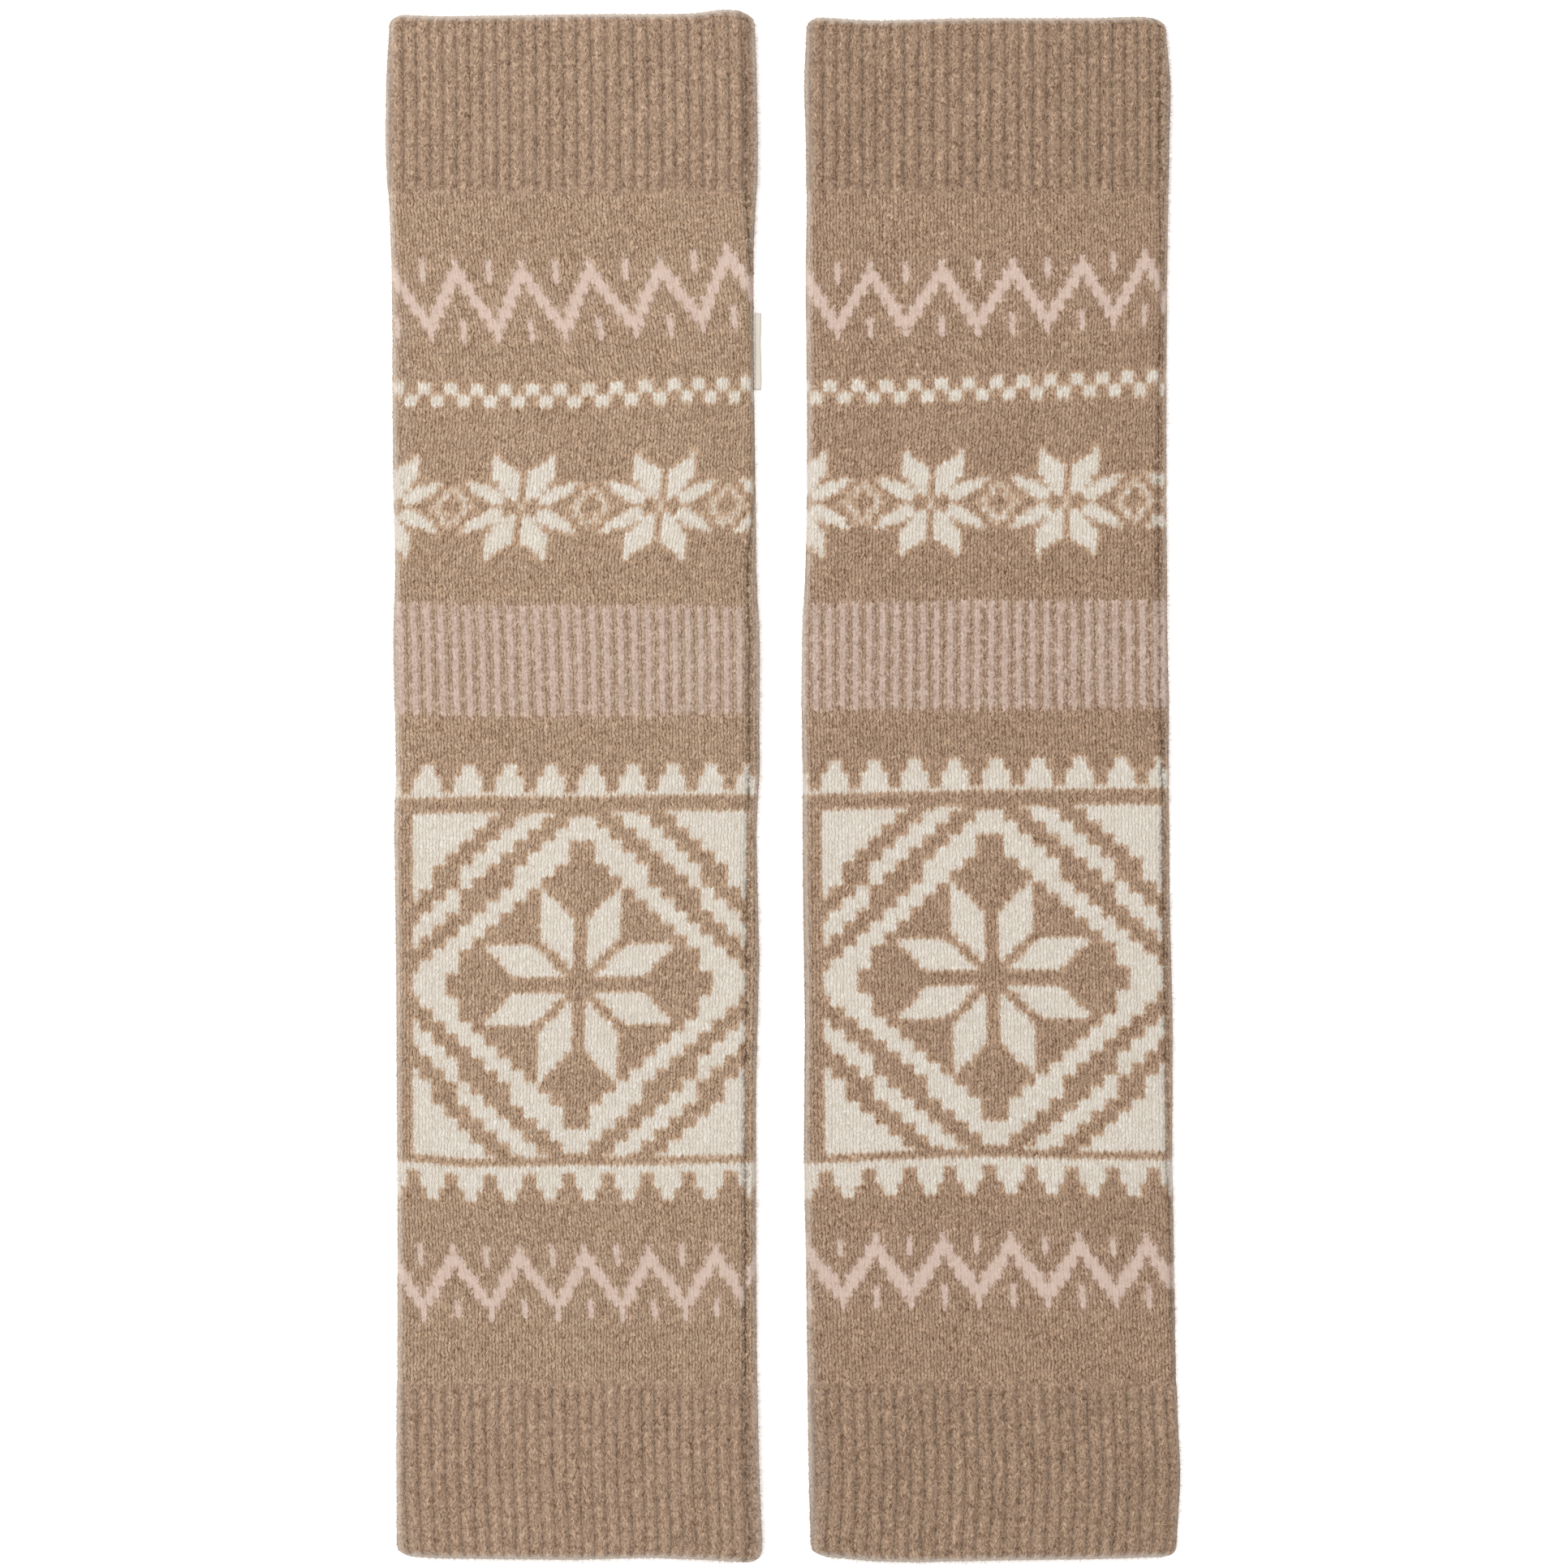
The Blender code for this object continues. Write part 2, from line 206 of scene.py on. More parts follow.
class Warmer:
    """Where one warmer's cloth lies, for any distance down it and any wale round it.

    Wales are counted over the front from 0, near the left fold, to 55 at the seam, and on the back
    from 0 down to -52, which is the seam again.
    """

    def __init__(self, side, middle, outline, wales, courses, hems):
        self.side, self.middle = side, middle
        self.outline = read_softly(outline, 8)
        self.wales = read_softly(wales, 12)
        self.courses = read_softly(courses, 4)
        self.hems = [read_softly(hem, 5) for hem in hems]

    def down_at(self, course, wale):
        """How far down a course of the body lies: it sags or climbs between its five stations."""
        front = between_stations(wale, STATIONS, self.courses(course))
        fold, *_, seam = self.courses(course)
        back = fold + (seam - fold) * np.clip(-wale / BACK_WALES, 0, 1)
        return np.where(wale >= 0, front, back)

    def ripple(self, x, down):
        """The cloth's soft ripples: three sine waves that run aslant, each a tenth of a millimetre."""
        return (
            0.10 * np.sin(x / 9.3 + down / 31)
            + 0.12 * np.sin(x / 21 - down / 47 + self.middle)
            + 0.08 * np.sin(down / 13 + x / 17)
        )

    def point(self, down, wale, out):
        """The cloth's place in metres, "out" millimetres off the tube, and its outward direction.

        A section of the tube is a straight top and underside joined by two half-round folds. A place
        on it is found by walking back from the seam, so many millimetres for so many wales: the way
        is counted up the left fold, over the top, down the right fold and home along the underside.
        The last value says how near the place is to the edges of the tube's upper face, where a pale painted
        sheen is laid, from 0 to 1.
        """
        left, right, seam, groove = self.outline(down)
        from_hem = np.clip(np.minimum(down, LENGTH - down), 0, None)
        drawn_in = CORNER_WIDE * (1 - np.sqrt(1 - np.clip(1 - from_hem / CORNER_TALL, 0, 1) ** 2))
        narrowed = 1 - 2 * drawn_in / (left + seam)
        left, right, seam = left - drawn_in, right - drawn_in, seam - drawn_in

        radius = THICK / 2
        fold = math.pi * radius
        flat = left + right - THICK
        past_top = seam - (right - radius)
        on_fold = radius * np.arcsin(np.clip(past_top / radius, 0, 1))
        seam_way = fold + flat + np.where(past_top <= 0, past_top, on_fold)
        all_round = 2 * (fold + flat)

        w42, w28, w14, w0 = (wales * narrowed for wales in self.wales(down))
        over_front = between_stations(wale, STATIONS, (w0, w14, w28, w42, 0))
        from_seam = np.where(wale >= 0, over_front, w0 - wale / BACK_WALES * (all_round - w0))
        way = (seam_way - from_seam) % all_round

        on_folds = np.clip(way, 0, fold) + np.clip(way - fold - flat, 0, fold)
        turn = -math.pi / 2 - on_folds / radius
        centre = radius - left + np.clip(way - fold, 0, flat) - np.clip(way - 2 * fold - flat, 0, flat)
        out_x, out_z = np.cos(turn), np.sin(turn)

        near_seam = np.minimum(from_seam, all_round - from_seam)
        x_flat = centre + radius * out_x
        drawn = groove * np.exp(-((near_seam / GROOVE_WIDE) ** 2))
        shown = self.ripple(x_flat, down) * np.clip(out_z, 0, 1) - drawn + np.maximum(out, 0)
        pressed_flat = np.clip(1 + np.minimum(out_z, 0) * 1.02, 0, 1)
        stands = np.minimum(out, 0) + shown * pressed_flat * np.clip(1 + out, 0, 1)

        x = x_flat + stands * out_x
        z = radius * (1 + out_z) + stands * out_z
        (upper,), (lower,) = (hem(x) for hem in self.hems)
        y = LENGTH / 2 - down + Y_SHIFT
        y = y + upper * np.clip(1 - down / UPPER_CUFF, 0, 1) ** 2
        y = y - lower * np.clip((down - LOWER_TOP) / LOWER_CUFF, 0, 1) ** 2

        # The band of pale painted sheen lies on what faces up, which begins lower on a fold than on a hem's
        # lip.
        from_fold = np.minimum((x_flat + left) / SHEEN_WIDE, (right - x_flat) / SHEEN_WIDE_RIGHT)
        near_fold = np.clip(1 - from_fold, 0, 1) * np.clip((z - 2.6) / 1.2, 0, 1)
        near_hem = np.clip(1 - from_hem / SHEEN_WIDE, 0, 1) * np.clip((z - 3.4) / 0.7, 0, 1)
        painted_sheen = np.maximum(near_fold, near_hem)
        return np.stack(np.broadcast_arrays(x + self.middle, y, z), -1) * MM, out_x, out_z, painted_sheen


left_warmer = Warmer("left", -58.06, LEFT_OUTLINE, LEFT_WALES, LEFT_COURSES, LEFT_HEMS)
right_warmer = Warmer("right", 56.54, RIGHT_OUTLINE, RIGHT_WALES, RIGHT_COURSES, RIGHT_HEMS)

# The chart: which yarn each stitch is knitted in. A marled stitch shows both of its two strands.
CAMEL, CREAM, PINK, MARLED = 0, 1, 2, 3
# The bands, by the courses where they begin and end, or by the course of their middle or line.
UPPER_ZIGZAG = (17, 36)
DOT_ROWS = (47, 50)
STAR_MIDDLE = 78.5
STRIPES = (103, 131)
UPPER_TEETH, PANEL_MIDDLE, LOWER_TEETH = 150, 198, 245
COURSE_PER_WALE = 0.59
ZIGZAG_INSET, ZIGZAG_HALF, TIP_DRAWN_OUT, TICK = 2.6, 2.9, 0.8, 5
# The eight-petalled star, one quarter of it: a wale or course from its middle, and the stitches that
# its petal covers there.
UPRIGHT_PETAL = ((1, 2, 9), (2, 3, 10), (3, 5, 11), (4, 7, 13))
LEVEL_PETAL = ((1, 3, 4), (2, 3, 5), (3, 3, 6), (4, 4, 7), (5, 5, 7), (6, 7, 8))


def from_middle(wale, middle, repeat):
    """How far each wale is from the nearest repeat of a motif's middle."""
    return np.abs((wale - middle + repeat / 2) % repeat - repeat / 2)


def chart_zigzag(chart, course, wale, valley, top, bottom):
    """A line that slants from valley to peak over five wales and back, with its tips drawn out a little.

    A short upright tick stands over each valley and hangs under each peak.
    """
    away = from_middle(wale, valley, 10)
    in_valley, on_peak = away < 0.5, away > 4.5
    slant = away * (bottom - top - 2 * ZIGZAG_INSET) / 5
    line = bottom - ZIGZAG_INSET - slant + in_valley * TIP_DRAWN_OUT - on_peak * TIP_DRAWN_OUT
    inside = (course > top - 1) & (course < bottom + 1)
    ticks = (in_valley & (course < top + TICK)) | (on_peak & (course > bottom - TICK))
    chart[(np.abs(course - line) < ZIGZAG_HALF) | (inside & ticks)] = PINK


def chart_stars(chart, course, wale, middle):
    """Stars over twenty wales, and between them an open lozenge of marled stitches."""
    across = np.round(from_middle(wale, middle, 20))
    along = np.abs(np.round(course - STAR_MIDDLE))
    petals = sum((across == at) & (along >= low) & (along <= high) for at, low, high in UPRIGHT_PETAL)
    petals += sum((along == at) & (across >= low) & (across <= high) for at, low, high in LEVEL_PETAL)
    lozenge = from_middle(wale, middle + 10, 20) / 2.6 + along / 4.4
    chart[(lozenge > 0.75) & (lozenge < 1.3)] = MARLED
    chart[(across == 0) & (along <= 1)] = MARLED
    chart[petals > 0] = CREAM


def chart_teeth(chart, course, wale, middle, line, upward):
    """A line with a stepped tooth every six wales, pointing up or down from it."""
    away = from_middle(wale, middle, 6)
    height = (line - course) * upward
    foot = (height > 0) & (height < 4) & (away < 2)
    point = (height >= 4) & (height < 7) & (away < 1)
    thickness = 1 if upward > 0 else 2
    chart[foot | point | (height < 0) & (height > -thickness)] = CREAM


def chart_panel(chart, course, wale):
    """A stepped lozenge round a large rose, with bent bars and a block in each corner.

    Distances are in wales both ways, and are stepped by two wales or three courses.
    """
    across = from_middle(wale, 30, SEAM_WALE)
    along = np.abs(course - PANEL_MIDDLE) * COURSE_PER_WALE
    inside = (across < 25) & (along < 25.4)
    step_x = np.floor(across / 1.999) * 2 + 1
    step_y = np.floor(along / 1.77) * 1.77 + 0.9
    stepped = step_x + step_y
    lozenge = (stepped > 21.5) & (stepped < 26)
    bars = (stepped > 30.5) & (stepped < 34)
    corner = stepped > 38
    rose = (across > 1) & (along > 1) & (np.abs(across - along) > 1.0)
    short, long = np.minimum(across, along), np.maximum(across, along)
    rose &= (short < 5.8) & (long < 8.6 + short)
    chart[inside & (lozenge | bars | corner | rose)] = CREAM


def body_chart(zigzag_valleys, dots, star, crest, teeth, lower_zigzag):
    """All the bands of one body, by course from the upper cuff and by wale from the seam round."""
    wale = np.arange(-BACK_WALES, SEAM_WALE) + 0.5
    course = np.arange(COURSES)[:, None] + 0.5
    chart = np.full((COURSES, WALES), CAMEL)
    chart_zigzag(chart, course, wale, zigzag_valleys[0], *UPPER_ZIGZAG)
    for middle, top in zip(dots, DOT_ROWS):
        chart[(from_middle(wale, middle, 4) < 1) & (course > top) & (course < top + 3)] = CREAM
    chart_stars(chart, course, wale, star)
    chart[(wale % 2 == crest) & (course > STRIPES[0]) & (course < STRIPES[1])] = PINK
    chart_teeth(chart, course, wale, teeth[0], UPPER_TEETH, 1)
    chart_panel(chart, course, wale)
    chart_teeth(chart, course, wale, teeth[1], LOWER_TEETH, -1)
    chart_zigzag(chart, course, wale, zigzag_valleys[1], *lower_zigzag)
    return chart


left_chart = body_chart((6.5, 5.5), (1, 3), 0.5, 1.5, (1, 2), (264, 281.5))
right_chart = body_chart((7.5, 6.5), (2, 4), 1.5, 0.5, (1, 2), (262.5, 279))

# A stitch on the front is eight triangles: two legs, each a slanting cell with a raised middle. Its
# corners are numbered over its top edge, its bottom edge, and then the two legs' middles.
STITCH_CORNERS = np.array(((0, 0), (0.5, 0), (1, 0), (0, 1), (0.5, 1), (1, 1), (0.25, 0.5), (0.75, 0.5)))
STITCH_TRIANGLES = np.array(
    ((0, 3, 6), (3, 4, 6), (4, 1, 6), (1, 0, 6), (1, 4, 7), (4, 5, 7), (5, 2, 7), (2, 1, 7))
)
PLAIN_TRIANGLES = np.array(((0, 3, 5), (0, 5, 2)))
HALVES = np.array(((0, 1, 2), (0, 2, 3)))

# A column of points runs along every wale's edge. Wales that show from above also have one down their
# middle, which is drawn down into the V, and those beneath are plain.
WALE = np.arange(-BACK_WALES, SEAM_WALE)
SHOWS = (WALE >= -2) | (WALE < 3 - BACK_WALES)
COLUMN = np.sort(np.concatenate([WALE, WALE[SHOWS] + 0.5]))
IS_MIDDLE = COLUMN % 1 > 0
AT_EDGE = np.searchsorted(COLUMN, WALE)
AT_MIDDLE = np.searchsorted(COLUMN, WALE[SHOWS] + 0.5)
NEXT_EDGE = np.roll(AT_EDGE, -1)


def in_stripes(course, courses):
    """Whether a course lies in the stripe band, which only a body has."""
    return (course > STRIPES[0]) & (course < STRIPES[1]) & (courses == COURSES)


def yarn_shares(chart):
    """Each stitch's shares of cream and of pink yarn, in part lent by the four stitches next to it.

    In the stripe band the two yarns are brushed together.
    """
    brushed = in_stripes(np.arange(len(chart))[:, None] + 0.5, len(chart))
    pink = np.where(brushed, np.where(chart == PINK, 0.7, 0.17), (chart == PINK) * 0.86)
    marled = chart == MARLED
    shares = np.stack([(chart == CREAM) + 0.67 * marled, pink + 0.2 * marled], -1)
    return 0.68 * shares + 0.08 * sum(np.roll(shares, step, axis) for axis in (0, 1) for step in (-1, 1))


def tile(courses, wales, columns, triangles, legs=()):
    """A stitch's triangles, repeated for every course and wale, and where each corner is on the chart.

    "columns" are those at the stitch's left, middle and right, and the points of its legs follow.
    """
    row = np.arange(courses)[:, None]
    top = [row * len(COLUMN) + column for column in columns]
    corners = np.stack([*top, *(point + len(COLUMN) for point in top), *legs], -1)
    where = np.stack(np.broadcast_arrays(wales, row), -1)[..., None, None, :]
    return corners[..., triangles], where + STITCH_CORNERS[triangles]


def join_rings(first_points):
    """Strips of triangles from each ring of columns to the next, and each corner's wale and ring."""
    around = np.arange(len(COLUMN))
    here, there = first_points[:-1, None] + around, first_points[1:, None] + around
    quads = np.stack([here, there, np.roll(there, -1, 1), np.roll(here, -1, 1)], -1)
    ahead = np.append(COLUMN[1:], SEAM_WALE)
    ring = np.arange(len(here))[:, None] * np.ones(len(COLUMN))
    uv = np.stack([
        np.stack(np.broadcast_arrays(column, ring + step), -1)
        for column, step in ((COLUMN, 0), (COLUMN, 1), (ahead, 1), (ahead, 0))
    ], -2)
    return quads[..., HALVES], uv[..., HALVES, :]


class Stretch:
    """A stretch of a warmer's tube, which is a body or a cuff, knitted stitch by stitch.

    The chart gives each stitch's yarn, by course and by wale. "down_at" gives how far down a course
    lies at a wale, "relief" how far the cloth stands out there, and the third how far the place is shut
    in between ridges, from 0 to 1, which darkens it as painted shade. An end with a lip is a rounded hem, and
    any other is cut square.
    """

    def __init__(self, warmer, chart, down_at, relief, hollow_shade_at, upper_lip=0.0, lower_lip=0.0):
        self.warmer, self.chart, self.courses = warmer, chart, len(chart)
        self.down_at, self.relief, self.hollow_shade_at = down_at, relief, hollow_shade_at
        self.upper_lip, self.lower_lip = upper_lip, lower_lip

    def sunk(self, course):
        """How far the V draws each column down or up, which is little at a hem."""
        near = np.ones_like(course, float)
        if self.upper_lip:
            near = np.minimum(near, course / 3)
        if self.lower_lip:
            near = np.minimum(near, (self.courses - course) / 3)
        return np.where(IS_MIDDLE, 0.5, -0.5) * V_DEPTH * np.clip(near, 0.25, 1)

    def lay_columns(self, rng):
        """The columns' points, a row to a course, with each stitch pulled a little out of line."""
        course = np.arange(self.courses + 1)[:, None] * np.ones(len(COLUMN))
        wale = np.ones((self.courses + 1, 1)) * COLUMN
        loose = rng.normal(0, 0.05, (2, *course.shape)) * ((course > 0) & (course < self.courses))
        stands = np.where(IS_MIDDLE, 0.05, 0.0) + self.relief(course, wale)
        down = self.down_at(course, wale) + self.sunk(course) + loose[0]
        points, *_, painted_sheen = self.warmer.point(down, wale + loose[1] / 2, stands)
        return points, painted_sheen, self.hollow_shade_at(course, wale)

    def lay_legs(self, rng):
        """The raised middles of the legs, a quarter of a wale in from either side of its stitch."""
        course = np.arange(self.courses)[:, None] + 0.5
        wale = (WALE[SHOWS][:, None] + (0.25, 0.75)).ravel()
        course, wale = (np.array(a) for a in np.broadcast_arrays(course, wale))
        puff = LEG_STANDS_OUT * rng.normal(1, 0.22, wale.shape)
        down = self.down_at(course, wale) + rng.normal(0, 0.04, wale.shape)
        points, *_, painted_sheen = self.warmer.point(down, wale, puff + self.relief(course, wale))
        return points, painted_sheen, self.hollow_shade_at(course, wale)

    def lay_rings(self):
        """The hem and the inner wall, as rings that run from the last course back to the first.

        A hem's rings go round half an ellipse, from the outside past the end to the inner wall.
        """
        turn = [(math.sin(t), -WALL * (1 - math.cos(t)) / 2) for t in np.linspace(0, math.pi, 6)[1:-1]]
        ring_rows = [(self.courses * share, 0.0, -WALL) for share in (1, 0.97, 0.8, 0.6, 0.4, 0.2, 0.03, 0)]
        if self.lower_lip:
            ring_rows = [(self.courses, self.lower_lip * past, out) for past, out in turn] + ring_rows
        if self.upper_lip:
            ring_rows += [(0, -self.upper_lip * past, out) for past, out in turn[::-1]]
        rings = []
        for at, past_end, out in ring_rows:
            course = np.full(len(COLUMN), float(at))
            shown = self.relief(np.clip(course, 0.01, self.courses - 0.01), COLUMN)
            down = self.down_at(course, COLUMN) + self.sunk(course) + past_end
            point, *_, painted_sheen = self.warmer.point(down, COLUMN, out + shown * max(0, 1 + out / WALL * 2))
            rings.append((point, painted_sheen))
        points, ring_sheens = zip(*rings)
        return np.array(points), np.array(ring_sheens)

    def shares_at_points(self, shares, column_hollow_shade, leg_hollow_shade):
        """The shares of cream, of pink and of shade, at the columns' points and then at the legs'.

        A point between stitches takes the mean of the two or four that meet there.
        """
        around = np.concatenate([shares[:1], shares, shares[-1:]])
        up_down = (around[1:] + around[:-1]) / 2
        at_columns = np.zeros((self.courses + 1, len(COLUMN), 2))
        at_columns[:, AT_EDGE] = (up_down + np.roll(up_down, 1, axis=1)) / 2
        at_columns[:, AT_MIDDLE] = up_down[:, SHOWS]
        at_legs = np.repeat(shares[:, SHOWS], 2, axis=1)
        return np.concatenate([
            np.concatenate([at_columns, column_hollow_shade[..., None]], -1).reshape(-1, 3),
            np.concatenate([at_legs, leg_hollow_shade[..., None]], -1).reshape(-1, 3),
        ])

    def knit(self, name):
        """The stretch as one closed mesh: its stitches, its plain wales beneath and its inner wall."""
        rng = np.random.default_rng(len(name))
        columns, column_sheen, column_hollow_shade = self.lay_columns(rng)
        legs, leg_sheen, leg_hollow_shade = self.lay_legs(rng)
        rings, ring_sheen = self.lay_rings()
        vertices = np.concatenate([part.reshape(-1, 3) for part in (columns, legs, rings)])

        first_leg = columns.size // 3
        first_ring = first_leg + legs.size // 3
        leg = first_leg + 2 * np.arange(self.courses * SHOWS.sum()).reshape(self.courses, -1)
        shown = (AT_EDGE[SHOWS], AT_MIDDLE, NEXT_EDGE[SHOWS])
        beneath = (AT_EDGE[~SHOWS], AT_EDGE[~SHOWS], NEXT_EDGE[~SHOWS])
        last_course = self.courses * len(COLUMN)
        ring_starts = first_ring + np.arange(len(rings)) * len(COLUMN)
        front, front_uv = tile(self.courses, WALE[SHOWS], shown, STITCH_TRIANGLES, (leg, leg + 1))
        back, back_uv = tile(self.courses, WALE[~SHOWS], beneath, PLAIN_TRIANGLES)
        inner, inner_uv = join_rings(np.array([last_course, *ring_starts, 0]))
        faces = np.concatenate([part.reshape(-1, 3) for part in (front, back, inner)])

        shares = yarn_shares(self.chart)
        front_shares = self.shares_at_points(shares, column_hollow_shade, leg_hollow_shade)[front]
        back_shares = np.zeros((*back.shape, 3))
        back_shares[..., :2] = shares[:, ~SHOWS][:, :, None, None, :]
        inner_shares = np.zeros((*inner.shape, 3))
        corner_shares = [part.reshape(-1, 3) for part in (front_shares, back_shares, inner_shares)]

        stitch_uv = np.concatenate([uv.reshape(-1, 2) for uv in (front_uv, back_uv, inner_uv)])
        outside = front.size + back.size
        bake_uv = stitch_uv.copy()
        bake_uv[:, 0] = (stitch_uv[:, 0] + BACK_WALES) / WALES
        bake_uv[:outside, 1] = 1 - 0.88 * stitch_uv[:outside, 1] / self.courses
        bake_uv[outside:, 1] = 0.1 * (1 - stitch_uv[outside:, 1] / (len(rings) + 1))
        piece = make_cloth(name, vertices, faces, stitch_uv, bake_uv, np.concatenate(corner_shares))

        groove = self.warmer.outline(LENGTH / 2 + Y_SHIFT - vertices[:, 1] / MM)[3]
        # The pale painted sheen along the folds and hems, at every point.
        painted_sheen = np.concatenate([part.ravel() for part in (column_sheen, leg_sheen, ring_sheen)])
        # The seam value sets how strong the painted shade in the seam's groove is, by the groove's depth.
        for attribute, values in (("seam", np.clip(groove / FULL_GROOVE, 0.15, 1)), ("painted_sheen", painted_sheen)):
            layer = piece.data.attributes.new(attribute, "FLOAT", "POINT")
            layer.data.foreach_set("value", values.astype(np.float32))
        self.sharpen_ends(piece, last_course)
        return piece

    def sharpen_ends(self, piece, last_course):
        """A square-cut end has a sharp corner, so that the cloth runs on unshaded into the next stretch."""
        ends = np.zeros((len(piece.data.edges), 2), np.int32)
        piece.data.edges.foreach_get("vertices", ends.reshape(-1))
        first = (ends < len(COLUMN)).all(1)
        last = ((ends >= last_course) & (ends < last_course + len(COLUMN))).all(1)
        sharp = (first & (self.upper_lip == 0)) | (last & (self.lower_lip == 0))
        piece.data.attributes.new("sharp_edge", "BOOLEAN", "EDGE").data.foreach_set("value", sharp)

    def raise_nap(self, name, count):
        """Short curled hairs that brushing has pulled out of the yarn.

        Each is a narrow ribbon in three points: its root on the cloth, a middle point that stands off
        it, and a tip that has turned to one side. Three in ten grow at a side fold, and are finer and
        stand straight out there, as do those at a hem, and all these are painted pale with painted sheen.
        """
        rng = np.random.default_rng(len(name) + count)
        course = rng.uniform(0.3, self.courses - 0.3, count)
        wale = rng.uniform(-3, SEAM_WALE, count)
        at_fold = rng.random(count) < 0.3
        at_left = rng.random(count) < 0.5
        left_fold, right_fold = rng.uniform(0.2, 3.2, count), rng.uniform(0.6, 3.6, count) - BACK_WALES
        wale = np.where(at_fold, np.where(at_left, left_fold, right_fold), wale)
        at_hem = np.zeros(count, bool)
        for lip, hem, inward in ((self.upper_lip, 0, 1), (self.lower_lip, self.courses, -1)):
            if lip:
                here = (rng.random(count) < 0.3) & ~at_fold & (wale > 3) & (wale < SEAM_WALE - 2)
                at_hem |= here
                course = np.where(here, hem + inward * rng.uniform(0, 0.7, count), course)

        length = rng.gamma(9, 0.12, count)
        heading = rng.uniform(0, 2 * math.pi, count)
        turned = heading + rng.choice((-1, 1), count) * rng.uniform(0.3, 1.9, count)
        on_cloth = self.relief(course, wale)

        def off_root(step_along, step_across, out):
            at = wale + step_across / WALE_WIDE
            down = self.down_at(np.clip(course, 0, self.courses), wale) + step_along
            return self.warmer.point(down, (at + BACK_WALES) % WALES - BACK_WALES, on_cloth + out)

        half = length / 2
        half_along, half_across = half * np.sin(heading), half * np.cos(heading)
        root, *_ = off_root(0, 0, 0.05)
        middle, out_x, out_z, _ = off_root(half_along, half_across, rng.uniform(0.15, 0.45, count))
        tip, *_ = off_root(
            half * (np.sin(heading) + np.sin(turned)),
            half * (np.cos(heading) + np.cos(turned)),
            rng.uniform(0.1, 0.5, count),
        )
        up = np.array((0.0, 0.0, 1.0))
        outward = np.stack([out_x, 0 * out_x, out_z], -1)
        past_hem = np.where(course < self.courses / 2, 1.0, -1.0)[:, None] * np.array((0.0, 1.0, 0.0))
        straight = np.where(at_hem[:, None], past_hem, outward)
        sideways = np.clip(rng.normal(0, 0.5, (count, 3)), -1, 1)
        stands_up = (at_fold | at_hem)[:, None]
        reach = (np.minimum(rng.gamma(5, 0.14, count), 1.5) * MM)[:, None]
        over_lip = past_hem * 0.75 - up * rng.uniform(0.2, 1.8, count)[:, None]
        root = np.where(at_hem[:, None], root + over_lip * MM, root)
        middle = np.where(stands_up, root + reach * (straight + sideways) * 0.55, middle)
        tip = np.where(stands_up, root + reach * (straight + 1.6 * sideways), tip)
        for point in (root, middle, tip):
            point[:, 2] = np.clip(point[:, 2], 0.1 * MM, (THICK + 0.9) * MM)
        facing = np.where(stands_up, up, outward)
        width = np.where(stands_up, 0.026, rng.uniform(0.035, 0.06, count)[:, None]) * MM

        row = np.clip(course, 0, self.courses - 1).astype(int)
        stitch = self.chart[row, (np.floor(wale).astype(int) + BACK_WALES) % WALES]
        pink = (stitch == PINK) * np.where(in_stripes(course, self.courses), 0.75, 1.0)
        cream = (stitch == CREAM) * 1.0 + (stitch == MARLED) * (rng.random(count) < 0.4)
        # Hairs that stand out at a fold or hem take a tone past 1, which paints them with pale sheen.
        tone = np.where(stands_up[:, 0], rng.uniform(1.2, 1.6, count), rng.random(count))
        where, shares = np.stack([wale, course], -1), np.stack([cream, pink, tone], -1)
        return draw_hairs(name, (root, middle, tip), facing, width, where, shares)


# A hair's five points are numbered in pairs from its root, and its tip is the last.
HAIR_TRIANGLES = np.array(((0, 1, 3), (0, 3, 2), (2, 3, 4)))
HAIR_ON_ITS_PATCH = np.array(((0.1, 0.1), (0.9, 0.1), (0.1, 0.5), (0.9, 0.5), (0.5, 0.9)))


def draw_hairs(name, spine, facing, width, where, shares):
    """Hairs as ribbons that face one way, as wide at the root as at the middle and pointed at the tip."""
    root, middle, tip = spine
    edges = []
    for along in (middle - root, tip - root):
        side = np.cross(facing, along)
        edges.append(side / np.maximum(np.linalg.norm(side, axis=1, keepdims=True), 1e-9) * width)
    points = np.stack([root + edges[0], root - edges[0], middle + edges[1], middle - edges[1], tip], 1)
    count = len(root)
    faces = (np.arange(count)[:, None, None] * len(HAIR_ON_ITS_PATCH) + HAIR_TRIANGLES).reshape(-1, 3)

    grid = math.ceil(math.sqrt(count))
    patch = np.stack(np.divmod(np.arange(count), grid), -1)[:, None, None, :]
    bake_uv = ((patch + HAIR_ON_ITS_PATCH[HAIR_TRIANGLES]) / grid).reshape(-1, 2)
    stitch_uv = np.repeat(where, HAIR_TRIANGLES.size, axis=0)
    corner_shares = np.repeat(shares, HAIR_TRIANGLES.size, axis=0)
    return make_cloth(name, points.reshape(-1, 3), faces, stitch_uv, bake_uv, corner_shares)


